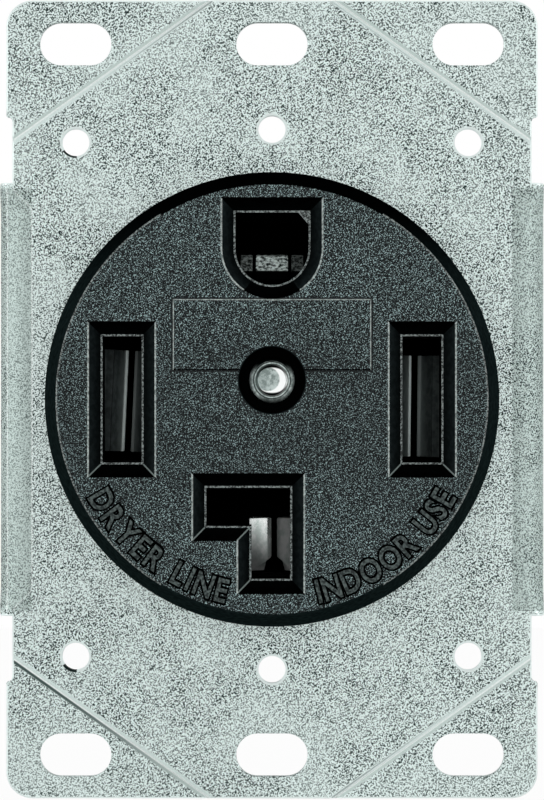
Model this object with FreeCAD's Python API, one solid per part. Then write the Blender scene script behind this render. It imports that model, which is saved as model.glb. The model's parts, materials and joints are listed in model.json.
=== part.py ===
import FreeCAD, Part
import math
import os

from FreeCAD import Vector

# Flush-mount four-wire power receptacle, in millimetres
# X is to the right, Z is up and the face looks along -Y
# The origin is the middle of the mounting strap's rear face

# Mounting strap
strap_sheet = 1.2
strap_height = 93.55
ear_width = 62.3
ear_height = 13.7
ear_corner_radius = 3.05
ear_step_radius = 0.5
wing_width = 64.0
wing_height = 50.8
wing_depth = 6.0
wing_corner_radius = 1.5
wing_inside_radius = 2.3
wing_end_inside_radius = 0.35
wing_end_length = 3.5
box_screw_pitch_x = 46.04
box_screw_pitch_z = 83.34
box_slot_length = 8.36
box_slot_width = 4.97
plate_screw_pitch_z = 60.3
plate_screw_middle_pitch_z = 63.4
plate_hole_diameter = 3.2
plate_hole_rim_radius = 0.35
plate_collar_wall = 0.7
plate_collar_height = 0.8
score_side_height = 30.3
score_end_offset = 7.4
score_width = 0.65
score_depth = 0.35

# Face cover
cover_base_diameter = 53.3
cover_face_diameter = 50.2
cover_height = 6.1
cover_rim_radius = 0.3
spigot_diameter = 48.6
spigot_length = 1.5
spigot_clearance = 0.3
key_width = 4.0
key_height = 1.0
bevel_width = 1.6
bevel_depth = 1.6
bevel_ledge = 0.22
line_slot_offset = 17.42
line_slot_width = 4.55
line_slot_height = 14.68
ground_slot_width = 8.5
ground_slot_bottom = 13.3
ground_slot_top = 21.72
ground_gusset_width = 1.2
ground_gusset_height = 1.4
neutral_slot_top = 10.27
neutral_slot_bottom = 20.85
neutral_arm_height = 4.44
neutral_arm_reach = 7.63
neutral_stem_width = 4.52
neutral_stem_edge = 2.12
panel_width = 23.0
panel_bottom = 3.38
panel_top = 11.63
panel_height = 0.15
rivet_recess_diameter = 7.73
rivet_recess_depth = 2.6

# Rear body
body_size = 52.0
body_depth = 27.5
body_corner_radius = 5.0
body_rear_radius = 1.2
body_wall = 2.2
web_floor = 16.4
ledge = 1.2
chamber_length = 12.5
chamber_corner_radius = 1.0
wire_height = 4.8
wire_slot_margin = 0.4
core_half_width = 9.2
core_start = 9.6
core_floor_wall = 2.2
core_corner_radius = 1.5
rivet_boss_diameter = 13.0
washer_seat_wall = 4.0
pocket_clearance = 0.15
seat_clearance = 0.1

# Contacts
contact_sheet = 1.2
contact_mouth = 2.1
line_pinch_depth = 7.0
neutral_pinch_depth = 4.4
ground_pinch_depth = 4.4
shoulder_depth = 11.4
pinch_bend_radius = 1.3
shoulder_bend_radius = 2.4
root_bend_radius = 1.3
line_mouth_gap = 3.9
line_pinch_gap = 0.6
line_root_gap = 3.6
line_leaf_height = 12.0
line_leaf_inset = 0.5
line_1_leaf_tilt = 2.6
line_1_leaf_shift = -0.2
line_2_leaf_tilt = 0.6
line_2_leaf_shift = 0.8
neutral_short_flare = 1.95
neutral_long_flare = 2.6
neutral_pinch_gap = 0.4
neutral_root_gap = 3.6
neutral_leaf_start = 14.0
neutral_leaf_height = 6.2
neutral_leaf_inset = 0.42
neutral_notch_height = 1.8
neutral_notch_width = 3.0
neutral_notch_shoulder_height = 1.1
neutral_notch_shoulder_width = 1.9
ground_leaf_width = 7.4
ground_inner_mouth = 15.2
ground_inner_pinch = 17.3
ground_inner_root = 15.0
ground_outer_mouth = 21.6
ground_outer_pinch = 20.9
ground_outer_root = 20.8
ground_slit_offset = 2.1
ground_slit_width = 0.4
foot_margin = 0.7

# Terminals
screw_diameter = 4.8
screw_head_diameter = 8.8
screw_head_height = 2.6
screw_head_edge = 0.7
screw_slot_width = 1.3
screw_slot_depth = 1.3
screw_tip_reach = 0.6
thread_clearance = 0.05
clamp_thickness = 1.6
clamp_margin = 0.4
clamp_hole_clearance = 0.3
clamp_groove_radius = 1.8
clamp_groove_depth = 0.5
clamp_corner_radius = 1.2

# Centre rivet and washer
rivet_offset = 2.23
rivet_diameter = 4.0
rivet_hole_clearance = 0.25
rivet_bead_diameter = 5.4
rivet_bead_height = 1.2
rivet_bead_radius = 0.45
rivet_cup_diameter = 3.0
rivet_cup_flare = 0.5
rivet_cup_depth = 1.0
rivet_head_diameter = 8.0
rivet_head_height = 1.8
rivet_head_radius = 0.8
washer_diameter = 10.5
washer_thickness = 1.0

# Earth bond between the ground contact and the strap
bond_sheet = 0.8
bond_width = 3.2
bond_bend_radius = 1.2
bond_length = 5.0
bond_clearance = 0.3
bond_rivet_diameter = 1.6
bond_rivet_head_diameter = 2.6
bond_rivet_head_height = 0.6
bond_rivet_tail_diameter = 2.4
bond_rivet_clearance = 0.05

# Reach of a cutting shape past the surface it cuts
overlap = 1.0

# Places worked out from the sizes above
strap_front = -strap_sheet
strap_end = strap_height / 2
ear_step = strap_end - ear_height
wing_edge = wing_width / 2
wing_end = wing_height / 2
wing_bend = wing_inside_radius + strap_sheet
wing_end_bend = wing_end_inside_radius + strap_sheet
waist_edge = wing_edge - wing_end_bend
wing_bend_start = wing_edge - wing_bend
face = strap_front - cover_height
opening_radius = spigot_diameter / 2 + spigot_clearance
body_half = body_size / 2
chamber_end = body_half - body_wall
chamber_start = chamber_end - chamber_length
web_start = chamber_start - ledge
web_end = chamber_end - pocket_clearance
web_front = web_floor - contact_sheet
clamp_front = web_floor + wire_height
clamp_rear = clamp_front + clamp_thickness
screw_place = (chamber_start + chamber_end) / 2
recess_floor = face + rivet_recess_depth
line_middle = line_slot_offset - line_leaf_inset
neutral_middle = neutral_stem_width / 2 - neutral_stem_edge - neutral_leaf_inset
washer_front = body_depth - washer_seat_wall
washer_rear = washer_front + washer_thickness

# Quarter turns, clockwise from the front, that carry a part from the top of the face to its own side
ground_turn = 0
line_2_turn = 1
neutral_turn = 2
line_1_turn = 3
turns = (ground_turn, line_2_turn, neutral_turn, line_1_turn)


def turned(shape, quarter):
    copy = shape.copy()
    copy.rotate(Vector(0, 0, 0), Vector(0, 1, 0), 90 * quarter)
    return copy


def front_plane(depth):
    return lambda point: Vector(point.x, depth, point.y)


def level_plane(height):
    return lambda point: Vector(point.x, point.y, height)


def side_plane(offset):
    return lambda point: Vector(offset, point.y, point.x)


# Closed outline whose corners are rounded by one radius each
def rounded_wire(points, radii, place):
    corners = [Vector(u, v, 0) for u, v in points]
    joints = []
    for index, corner in enumerate(corners):
        before = (corners[index - 1] - corner).normalize()
        after = (corners[(index + 1) % len(corners)] - corner).normalize()
        half_angle = before.getAngle(after) / 2
        reach = radii[index] / math.tan(half_angle)
        inset = radii[index] / math.sin(half_angle) - radii[index]
        middle = corner + (before + after).normalize() * inset
        joints.append((corner + before * reach, middle, corner + after * reach))
    edges = []
    for index, (start, middle, end) in enumerate(joints):
        if radii[index] > 0:
            edges.append(Part.Arc(place(start), place(middle), place(end)).toShape())
        follow = joints[(index + 1) % len(joints)][0]
        if end.distanceToPoint(follow) > 1e-6:
            edges.append(Part.LineSegment(place(end), place(follow)).toShape())
    return Part.Wire(edges)


# Prism between two depths, from an outline seen from the front
def front_prism(points, near, far, radii=None):
    wire = rounded_wire(points, radii or [0] * len(points), front_plane(near))
    return Part.Face(wire).extrude(Vector(0, far - near, 0))


def rectangle(left, right, bottom, top):
    return [(left, bottom), (right, bottom), (right, top), (left, top)]


def front_box(left, right, bottom, top, near, far, radius=0):
    return front_prism(rectangle(left, right, bottom, top), near, far, [radius] * 4)


def depth_cylinder(x, z, diameter, near, far):
    return Part.makeCylinder(diameter / 2, far - near, Vector(x, near, z), Vector(0, 1, 0))


# Solid of revolution about a line along Y, from (radius, depth) points
def turned_profile(points, radii, x, z):
    wire = rounded_wire(points, radii, level_plane(0))
    solid = Part.Face(wire).revolve(Vector(0, 0, 0), Vector(0, 1, 0), 360)
    solid.translate(Vector(x, 0, z))
    return solid


# Points moved sideways by one distance, to the left of the way they run
def offset_points(points, distance, closed):
    corners = [Vector(u, v, 0) for u, v in points]
    count = len(corners)
    moved = []
    for index, corner in enumerate(corners):
        ways = []
        if closed or index > 0:
            ways.append((corner - corners[index - 1]).normalize())
        if closed or index < count - 1:
            ways.append((corners[(index + 1) % count] - corner).normalize())
        normals = [Vector(-way.y, way.x, 0) for way in ways]
        mean = (normals[0] + normals[-1]).normalize()
        shifted = corner + mean * (distance / mean.dot(normals[0]))
        moved.append((shifted.x, shifted.y))
    return moved


# Outline of a bent sheet that follows an open path, with one bend radius at each point
def sheet_outline(path, bends, sheet):
    left = offset_points(path, sheet / 2, False)
    right = offset_points(path, -sheet / 2, False)
    left_radii = []
    right_radii = []
    for index, bend in enumerate(bends):
        if index in (0, len(path) - 1):
            side = 0
        else:
            before = Vector(*path[index], 0) - Vector(*path[index - 1], 0)
            after = Vector(*path[index + 1], 0) - Vector(*path[index], 0)
            side = math.copysign(sheet / 2, before.cross(after).z)
        left_radii.append(bend - side)
        right_radii.append(bend + side)
    return left + right[::-1], left_radii + right_radii[::-1]


# Strap
def strap_blank():
    points = []
    radii = []
    corners = [
        (waist_edge, wing_end, 0),
        (waist_edge, ear_step, ear_step_radius),
        (ear_width / 2, ear_step, ear_step_radius / 2),
        (ear_width / 2, strap_end, ear_corner_radius),
    ]
    inner = wing_bend_start - overlap
    right = [(inner, -wing_end, 0), (inner, wing_end, 0)] + corners
    for x, z, radius in right:
        points.append((x, z))
        radii.append(radius)
    for x, z, radius in right[::-1]:
        points.append((-x, z))
        radii.append(radius)
    for x, z, radius in corners:
        points.insert(0, (x, -z))
        radii.insert(0, radius)
    for x, z, radius in corners:
        points.append((-x, -z))
        radii.append(radius)
    return front_prism(points, strap_front, 0, radii)


# Section of a wing whose bend has the given inside radius
def wing_section(inside_radius, height):
    inner = wing_bend_start - 2 * overlap
    bend = inside_radius + strap_sheet
    points = [
        (inner, strap_front),
        (wing_edge, strap_front),
        (wing_edge, wing_depth),
        (wing_edge - strap_sheet, wing_depth),
        (wing_edge - strap_sheet, 0),
        (inner, 0),
    ]
    return rounded_wire(points, [0, bend, 0, 0, inside_radius, 0], level_plane(height))


# Side wing folded back, its bend tightening towards both ends
def strap_wing():
    middle_end = wing_end - wing_end_length
    section = Part.Face(wing_section(wing_inside_radius, -middle_end))
    wing = section.extrude(Vector(0, 0, 2 * middle_end))
    for side in (-1, 1):
        wide = wing_section(wing_inside_radius, side * middle_end)
        tight = wing_section(wing_end_inside_radius, side * wing_end)
        wing = wing.fuse(Part.makeLoft([wide, tight], True, True))
    profile = rectangle(-wing_end, wing_end, strap_front, wing_depth)
    radii = [0, 0, wing_corner_radius, wing_corner_radius]
    keep = Part.Face(rounded_wire(profile, radii, side_plane(0))).extrude(Vector(wing_edge + overlap, 0, 0))
    return wing.common(keep)


def box_slot(x, z):
    half_length = box_slot_length / 2
    half_width = box_slot_width / 2
    return front_box(
        x - half_length,
        x + half_length,
        z - half_width,
        z + half_width,
        strap_front - overlap,
        overlap,
        half_width,
    )


# Tapped wall-plate hole with a rounded front rim
def plate_hole(x, z):
    radius = plate_hole_diameter / 2
    rim = radius + plate_hole_rim_radius
    rear = plate_collar_height + overlap
    points = [(0, strap_front - overlap), (rim, strap_front - overlap), (rim, strap_front)]
    points += [(radius, strap_front), (radius, rear), (0, rear)]
    flare = rounded_wire(points, [0, 0, 0, plate_hole_rim_radius, 0, 0], level_plane(0))
    hole = Part.Face(flare).revolve(Vector(0, 0, 0), Vector(0, 1, 0), 360)
    hole.translate(Vector(x, 0, z))
    return hole


def plate_hole_places():
    places = []
    for side in (-1, 1):
        places.append((0, side * plate_screw_middle_pitch_z / 2))
        for across in (-1, 1):
            places.append((across * box_screw_pitch_x / 2, side * plate_screw_pitch_z / 2))
    return places


# Break-off line across one corner, a V groove in the front of the sheet
def score_groove(across, up):
    start = Vector(across * waist_edge, strap_front, up * score_side_height)
    end = Vector(across * score_end_offset, strap_front, up * strap_end)
    way = (end - start).normalize()
    start = start - way * overlap * 2
    length = (end - start).Length + overlap * 2
    aside = way.cross(Vector(0, 1, 0)) * (score_width / 2)
    deep = Vector(0, score_depth, 0)
    corners = [start + aside, start + deep, start - aside]
    return Part.Face(Part.makePolygon(corners + corners[:1])).extrude(way * length)


def strap_opening():
    radius = opening_radius
    opening = depth_cylinder(0, 0, 2 * radius, strap_front - overlap, overlap)
    reach = radius + key_height
    half = key_width / 2 + spigot_clearance
    return opening.fuse(front_box(-reach, reach, -half, half, strap_front - overlap, overlap))


def mounting_strap():
    strap = strap_blank()
    wing = strap_wing()
    other_wing = wing.mirror(Vector(0, 0, 0), Vector(1, 0, 0))
    strap = strap.fuse([wing, other_wing])
    collar_diameter = plate_hole_diameter + 2 * plate_collar_wall
    collars = [depth_cylinder(x, z, collar_diameter, 0, plate_collar_height) for x, z in plate_hole_places()]
    strap = strap.fuse(collars).removeSplitter()
    cuts = [strap_opening()]
    cuts += [plate_hole(x, z) for x, z in plate_hole_places()]
    for up in (-1, 1):
        for across in (-1, 0, 1):
            cuts.append(box_slot(across * box_screw_pitch_x / 2, up * box_screw_pitch_z / 2))
        for across in (-1, 1):
            cuts.append(score_groove(across, up))
    return strap.cut(cuts)


# Slot outlines on the face, counter-clockwise from the front, each with its corner radii
def line_slot_outline(side):
    x = side * line_slot_offset
    half_width = line_slot_width / 2
    half_height = line_slot_height / 2
    return rectangle(x - half_width, x + half_width, -half_height, half_height), [0, 0, 0, 0]


def ground_slot_outline():
    half = ground_slot_width / 2
    return rectangle(-half, half, ground_slot_bottom, ground_slot_top), [half, half, 0, 0]


def neutral_slot_outline():
    stem_left = neutral_stem_edge - neutral_stem_width
    arm_bottom = -neutral_slot_top - neutral_arm_height
    points = [
        (stem_left, -neutral_slot_bottom),
        (neutral_stem_edge, -neutral_slot_bottom),
        (neutral_stem_edge, -neutral_slot_top),
        (-neutral_arm_reach, -neutral_slot_top),
        (-neutral_arm_reach, arm_bottom),
        (stem_left, arm_bottom),
    ]
    return points, [0] * len(points)


# Slot outline moved outwards, with its rounded corners growing to match
def widened(points, radii, reach, depth):
    wide_radii = [radius + reach if radius else 0 for radius in radii]
    return rounded_wire(offset_points(points, -reach, True), wide_radii, front_plane(depth))


# Blade slot through the cover, with a bevelled mouth that ends on a narrow ledge
def blade_slot(points, radii):
    throat = front_prism(points, face - overlap, spigot_length + overlap, radii)
    slope = (bevel_width - bevel_ledge) / bevel_depth
    inner = widened(points, radii, bevel_ledge, face + bevel_depth)
    outer = widened(points, radii, bevel_width + slope * overlap, face - overlap)
    return throat.fuse(Part.makeLoft([inner, outer], True, True))


def cover_shell():
    base = cover_base_diameter / 2
    front = cover_face_diameter / 2
    spigot = spigot_diameter / 2
    points = [(0, face), (front, face), (base, strap_front), (spigot, strap_front)]
    points += [(spigot, spigot_length), (0, spigot_length)]
    return turned_profile(points, [0, cover_rim_radius, 0, 0, 0, 0], 0, 0)


# Small gusset across one top corner of the ground slot
def ground_gusset():
    right = ground_slot_width / 2
    left = right - ground_gusset_width
    bottom = ground_slot_top - ground_gusset_height
    outer_right = right + overlap
    outer_top = ground_slot_top + overlap
    points = [(left, ground_slot_top), (right, bottom), (outer_right, bottom)]
    points += [(outer_right, outer_top), (left, outer_top)]
    return front_prism(points, face + bevel_depth, spigot_length)


def face_cover():
    cover = cover_shell()
    reach = spigot_diameter / 2 + key_height
    keys = front_box(-reach, reach, -key_width / 2, key_width / 2, strap_front, spigot_length)
    half = panel_width / 2
    panel = front_box(-half, half, panel_bottom, panel_top, face - panel_height, face + overlap)
    cover = cover.fuse([keys, panel])
    cuts = [blade_slot(*line_slot_outline(side)) for side in (-1, 1)]
    cuts += [blade_slot(*ground_slot_outline()), blade_slot(*neutral_slot_outline())]
    cuts.append(depth_cylinder(0, rivet_offset, rivet_recess_diameter, face - overlap, recess_floor))
    hole = rivet_diameter + 2 * rivet_hole_clearance
    cuts.append(depth_cylinder(0, rivet_offset, hole, face, spigot_length + overlap))
    return cover.cut(cuts).fuse(ground_gusset()).removeSplitter()


# Feet of the contacts, seen at the top of the face: left, right, bottom, top
def line_foot():
    half = line_root_gap / 2 + contact_sheet + foot_margin
    return -line_slot_height / 2, web_start + ledge, line_middle - half, line_middle + half


def neutral_foot():
    half = neutral_root_gap / 2 + contact_sheet + foot_margin
    end = neutral_leaf_start + neutral_leaf_height + foot_margin
    return neutral_middle - half, web_start + ledge, neutral_slot_top, end


def ground_foot():
    low = ground_inner_root - contact_sheet - foot_margin
    high = ground_outer_root + contact_sheet + foot_margin
    return -ground_slot_width / 2, web_start + ledge, low, high


feet = {
    ground_turn: ground_foot,
    line_2_turn: line_foot,
    neutral_turn: neutral_foot,
    line_1_turn: line_foot,
}


# Web plate of a contact: its foot and the pad that its terminal screw threads into
def contact_web(foot):
    left, right, bottom, top = foot
    web = front_box(left, right, bottom, top, web_front, web_floor)
    corner = chamber_corner_radius
    pad = front_prism(
        rectangle(web_start, web_end, web_start, web_end), web_front, web_floor, [0, 0, corner, 0]
    )
    thread = screw_diameter + 2 * thread_clearance
    hole = depth_cylinder(screw_place, screw_place, thread, web_front - overlap, web_floor + overlap)
    return web.fuse(pad).cut(hole)


# Path of a pair of leaves joined at the root: (offset, depth) points from mouth to mouth
def leaf_path(mouths, pinches, roots, pinch_depth):
    half = contact_sheet / 2
    root_depth = web_floor - half
    low = [
        (mouths[0] - half, contact_mouth),
        (pinches[0] - half, pinch_depth),
        (roots[0] - half, shoulder_depth),
        (roots[0] - half, root_depth),
    ]
    high = [
        (roots[1] + half, root_depth),
        (roots[1] + half, shoulder_depth),
        (pinches[1] + half, pinch_depth),
        (mouths[1] + half, contact_mouth),
    ]
    bends = [0, pinch_bend_radius, shoulder_bend_radius, root_bend_radius]
    return low + high, bends + bends[::-1]


def centred(gap, middle):
    return middle - gap / 2, middle + gap / 2


# Line contact, with its leaves shifted along the slot and tilted about their own middle
def line_contact(quarter, shift, tilt):
    path, bends = leaf_path(
        centred(line_mouth_gap, line_middle),
        centred(line_pinch_gap, line_middle),
        centred(line_root_gap, line_middle),
        line_pinch_depth,
    )
    outline, radii = sheet_outline(path, bends, contact_sheet)
    start = shift - line_leaf_height / 2
    section = Part.Face(rounded_wire(outline, radii, side_plane(start)))
    leaves = section.extrude(Vector(line_leaf_height, 0, 0))
    leaves.rotate(Vector(shift, 0, line_middle), Vector(0, 1, 0), tilt)
    contact = contact_web(line_foot()).fuse(leaves).removeSplitter()
    return turned(contact, quarter)


# Bell-shaped notch between the free ends of the neutral leaves
def neutral_notch():
    end = neutral_leaf_start + neutral_leaf_height
    shoulder = end - neutral_notch_shoulder_height
    points = [(neutral_middle, end - neutral_notch_height)]
    points.append((neutral_middle + neutral_notch_shoulder_width / 2, shoulder))
    points.append((neutral_middle + neutral_notch_width / 2, end + overlap))
    points.append((neutral_middle - neutral_notch_width / 2, end + overlap))
    points.append((neutral_middle - neutral_notch_shoulder_width / 2, shoulder))
    return front_prism(points, contact_mouth - overlap, shoulder_depth)


def neutral_contact():
    path, bends = leaf_path(
        (neutral_middle - neutral_short_flare, neutral_middle + neutral_long_flare),
        centred(neutral_pinch_gap, neutral_middle),
        centred(neutral_root_gap, neutral_middle),
        neutral_pinch_depth,
    )
    outline, radii = sheet_outline(path, bends, contact_sheet)
    section = Part.Face(rounded_wire(outline, radii, level_plane(neutral_leaf_start)))
    leaves = section.extrude(Vector(0, 0, neutral_leaf_height)).cut(neutral_notch())
    contact = contact_web(neutral_foot()).fuse(leaves).removeSplitter()
    return turned(contact, neutral_turn)


def ground_contact():
    path, bends = leaf_path(
        (ground_inner_mouth, ground_outer_mouth),
        (ground_inner_pinch, ground_outer_pinch),
        (ground_inner_root, ground_outer_root),
        ground_pinch_depth,
    )
    outline, radii = sheet_outline(path, bends, contact_sheet)
    half = ground_leaf_width / 2
    leaves = Part.Face(rounded_wire(outline, radii, side_plane(-half))).extrude(Vector(2 * half, 0, 0))
    slit_half = ground_slit_width / 2
    middle = (ground_inner_pinch + ground_outer_pinch) / 2
    for side in (-1, 1):
        left = side * ground_slit_offset - slit_half
        low = ground_inner_mouth - 2 * contact_sheet
        slit = front_box(left, left + ground_slit_width, low, middle, contact_mouth - overlap, shoulder_depth)
        leaves = leaves.cut(slit)
    contact = contact_web(ground_foot()).fuse(leaves)
    rivet_x, rivet_z = bond_rivet_place()
    hole = bond_rivet_diameter + 2 * bond_rivet_clearance
    cut = depth_cylinder(rivet_x, rivet_z, hole, web_front - overlap, web_floor + overlap)
    return contact.cut([cut, bond_rivet_cone(bond_rivet_clearance)]).removeSplitter()


# Body pocket of one contact, open to the front
def contact_pocket(foot):
    left, right, bottom, top = foot
    gap = pocket_clearance
    pocket = front_box(left - gap, right + gap, bottom - gap, top + gap, -overlap, web_floor)
    start = web_start - gap
    radii = [0, 0, chamber_corner_radius, 0]
    pad = rectangle(start, chamber_end, start, chamber_end)
    return pocket.fuse(front_prism(pad, -overlap, web_floor, radii))


# Terminal chamber, open to the rear and, through the wire slot, to one side
def terminal_chamber():
    radii = [0, 0, chamber_corner_radius, 0]
    outline = rectangle(chamber_start, chamber_end, chamber_start, chamber_end)
    chamber = front_prism(outline, web_floor - overlap, body_depth + overlap, radii)
    left = chamber_start + wire_slot_margin
    right = chamber_end - wire_slot_margin
    slot = front_box(left, right, chamber_end - chamber_corner_radius, body_half + overlap, web_floor, clamp_front)
    return chamber.fuse(slot)


def rear_core():
    radius = core_corner_radius
    floor = web_floor + core_floor_wall
    half = core_half_width
    return front_box(-half, half, core_start, chamber_end, floor, body_depth + overlap, radius)


def rear_body():
    corner = [body_corner_radius] * 4
    block = front_prism(rectangle(-body_half, body_half, -body_half, body_half), 0, body_depth, corner)
    rear_edges = [edge for edge in block.Edges if abs(edge.CenterOfMass.y - body_depth) < 1e-6]
    block = block.makeFillet(body_rear_radius, rear_edges)
    recess = spigot_length + seat_clearance
    cuts = [depth_cylinder(0, 0, 2 * opening_radius, -overlap, recess)]
    reach = opening_radius + key_height
    half = key_width / 2 + spigot_clearance
    cuts.append(front_box(-reach, reach, -half, half, -overlap, recess))
    for quarter in turns:
        cuts.append(turned(contact_pocket(feet[quarter]()), quarter))
        cuts.append(turned(terminal_chamber(), quarter))
        cuts.append(turned(rear_core(), quarter))
    body = block.cut(cuts)
    boss = depth_cylinder(0, rivet_offset, rivet_boss_diameter, recess, body_depth)
    hole = rivet_diameter + 2 * rivet_hole_clearance
    seat = washer_diameter + 2 * rivet_hole_clearance
    body = body.fuse(boss)
    body = body.cut(depth_cylinder(0, rivet_offset, hole, -overlap, body_depth + overlap))
    body = body.cut(depth_cylinder(0, rivet_offset, seat, washer_front, body_depth + overlap))
    return body.removeSplitter()


def terminal_clamp(quarter):
    start = chamber_start + clamp_margin
    end = chamber_end - clamp_margin
    radii = [0, 0, clamp_corner_radius, 0]
    plate = front_prism(rectangle(start, end, start, end), clamp_front, clamp_rear, radii)
    hole = screw_diameter + 2 * clamp_hole_clearance
    plate = plate.cut(depth_cylinder(screw_place, screw_place, hole, clamp_front - overlap, clamp_rear + overlap))
    groove_depth = clamp_front + clamp_groove_depth - clamp_groove_radius
    for x in ((start + screw_place - hole / 2) / 2, (end + screw_place + hole / 2) / 2):
        base = Vector(x, groove_depth, start - overlap)
        length = end - start + 2 * overlap
        plate = plate.cut(Part.makeCylinder(clamp_groove_radius, length, base, Vector(0, 0, 1)))
    return turned(plate, quarter)


def terminal_screw(quarter):
    shank = screw_diameter / 2
    head = screw_head_diameter / 2
    rear = clamp_rear + screw_head_height
    tip = web_front - screw_tip_reach
    points = [(0, tip), (shank, tip), (shank, clamp_rear), (head, clamp_rear), (head, rear), (0, rear)]
    screw = turned_profile(points, [0, 0, 0, 0, screw_head_edge, 0], screw_place, screw_place)
    half = screw_slot_width / 2
    left = screw_place - head - overlap
    right = screw_place + head + overlap
    low = screw_place - half
    high = screw_place + half
    slot = front_box(left, right, low, high, rear - screw_slot_depth, rear + overlap)
    return turned(screw.cut(slot), quarter)


def centre_rivet():
    shank = rivet_diameter / 2
    bead = rivet_bead_diameter / 2
    cup = rivet_cup_diameter / 2
    head = rivet_head_diameter / 2
    bead_front = recess_floor - rivet_bead_height
    cup_floor = bead_front + rivet_cup_depth
    rear = washer_rear + rivet_head_height
    round_bead = rivet_bead_radius
    points = [
        (0, cup_floor),
        (cup, cup_floor),
        (cup + rivet_cup_flare, bead_front),
        (bead, bead_front),
        (bead, recess_floor),
        (shank, recess_floor),
        (shank, washer_rear),
        (head, washer_rear),
        (head, rear),
        (0, rear),
    ]
    radii = [0, 0, round_bead / 2, round_bead / 2, 0, 0, 0, 0, rivet_head_radius, 0]
    return turned_profile(points, radii, 0, rivet_offset)


def rivet_washer():
    hole = rivet_diameter + 2 * rivet_hole_clearance
    washer = depth_cylinder(0, rivet_offset, washer_diameter, washer_front, washer_rear)
    return washer.cut(depth_cylinder(0, rivet_offset, hole, washer_front - overlap, washer_rear + overlap))


def bond_right():
    return web_end - bond_clearance


def bond_rivet_place():
    edge = (bond_width - bond_rivet_head_diameter) / 2
    return bond_right() - bond_length + edge + bond_rivet_head_diameter / 2, bond_right() - bond_width / 2


def ground_bond():
    half = bond_sheet / 2
    upright = bond_right() - half
    inner = upright - bond_length + half
    path = [(inner, web_front - half), (upright, web_front - half), (upright, half), (inner, half)]
    bends = [0, bond_bend_radius, bond_bend_radius, 0]
    outline, radii = sheet_outline(path, bends, bond_sheet)
    section = Part.Face(rounded_wire(outline, radii, level_plane(bond_right() - bond_width)))
    strip = section.extrude(Vector(0, 0, bond_width))
    rivet_x, rivet_z = bond_rivet_place()
    hole = bond_rivet_diameter + 2 * bond_rivet_clearance
    return strip.cut(depth_cylinder(rivet_x, rivet_z, hole, web_front - bond_sheet - overlap, web_front + overlap))


# Countersunk tail of the bond rivet, flush with the rear of the web
def bond_rivet_cone(clearance):
    shank = bond_rivet_diameter / 2 + clearance
    tail = bond_rivet_tail_diameter / 2 + clearance
    x, z = bond_rivet_place()
    start = Vector(x, web_floor - bond_rivet_head_height, z)
    return Part.makeCone(shank, tail, bond_rivet_head_height, start, Vector(0, 1, 0))


def ground_bond_rivet():
    shank = bond_rivet_diameter / 2
    head = bond_rivet_head_diameter / 2
    seat = web_front - bond_sheet
    near = seat - bond_rivet_head_height
    points = [(0, near), (head, near), (head, seat), (shank, seat), (shank, web_floor), (0, web_floor)]
    rivet = turned_profile(points, [0] * len(points), *bond_rivet_place())
    return rivet.fuse(bond_rivet_cone(0)).removeSplitter()


def build():
    shapes = {
        "mounting_strap": mounting_strap(),
        "face_cover": face_cover(),
        "rear_body": rear_body(),
        "line_1_contact": line_contact(line_1_turn, line_1_leaf_shift, line_1_leaf_tilt),
        "line_2_contact": line_contact(line_2_turn, line_2_leaf_shift, line_2_leaf_tilt),
        "neutral_contact": neutral_contact(),
        "ground_contact": ground_contact(),
        "centre_rivet": centre_rivet(),
        "rivet_washer": rivet_washer(),
        "ground_bond": ground_bond(),
        "ground_bond_rivet": ground_bond_rivet(),
    }
    terminals = {
        "line_1": line_1_turn,
        "line_2": line_2_turn,
        "neutral": neutral_turn,
        "ground": ground_turn,
    }
    for name, quarter in terminals.items():
        shapes[name + "_clamp"] = terminal_clamp(quarter)
        shapes[name + "_screw"] = terminal_screw(quarter)
    return shapes


def main():
    os.makedirs("parts", exist_ok=True)
    for name, shape in build().items():
        box = shape.BoundBox
        sizes = f"{box.XLength:.2f} x {box.YLength:.2f} x {box.ZLength:.2f}"
        print(name, len(shape.Solids), shape.isValid(), round(shape.Volume, 1), sizes)
        shape.exportStep(f"parts/{name}.step")


main()
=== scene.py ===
import bpy
import json
import math
from mathutils import Matrix, Vector


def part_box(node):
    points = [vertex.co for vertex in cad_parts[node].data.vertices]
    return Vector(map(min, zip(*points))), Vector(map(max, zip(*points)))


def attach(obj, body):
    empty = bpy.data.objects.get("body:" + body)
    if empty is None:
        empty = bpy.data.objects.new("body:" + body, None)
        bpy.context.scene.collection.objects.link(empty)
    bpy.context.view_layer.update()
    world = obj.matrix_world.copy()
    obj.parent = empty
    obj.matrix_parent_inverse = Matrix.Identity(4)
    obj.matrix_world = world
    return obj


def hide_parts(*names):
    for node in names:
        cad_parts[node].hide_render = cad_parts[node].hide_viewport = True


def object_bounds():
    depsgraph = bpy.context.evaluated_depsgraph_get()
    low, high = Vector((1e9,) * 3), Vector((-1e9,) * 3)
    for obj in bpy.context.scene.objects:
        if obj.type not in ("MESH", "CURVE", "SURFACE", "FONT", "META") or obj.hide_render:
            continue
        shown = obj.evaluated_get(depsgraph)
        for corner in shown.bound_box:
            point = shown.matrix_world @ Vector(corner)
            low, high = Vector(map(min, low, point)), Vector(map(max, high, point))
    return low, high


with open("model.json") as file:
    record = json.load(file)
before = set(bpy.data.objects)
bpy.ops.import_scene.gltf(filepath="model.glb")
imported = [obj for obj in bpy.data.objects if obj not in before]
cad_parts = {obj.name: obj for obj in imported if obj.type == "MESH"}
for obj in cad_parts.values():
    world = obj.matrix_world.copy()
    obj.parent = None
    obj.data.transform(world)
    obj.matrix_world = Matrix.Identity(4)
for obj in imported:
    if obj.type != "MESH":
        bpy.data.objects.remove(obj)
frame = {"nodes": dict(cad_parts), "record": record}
cadLow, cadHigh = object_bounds()
nodes = frame["nodes"]
mm = 0.001
print("frame loaded:", len(nodes), "CAD nodes")


# small helpers for picking things up and putting them down

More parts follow.
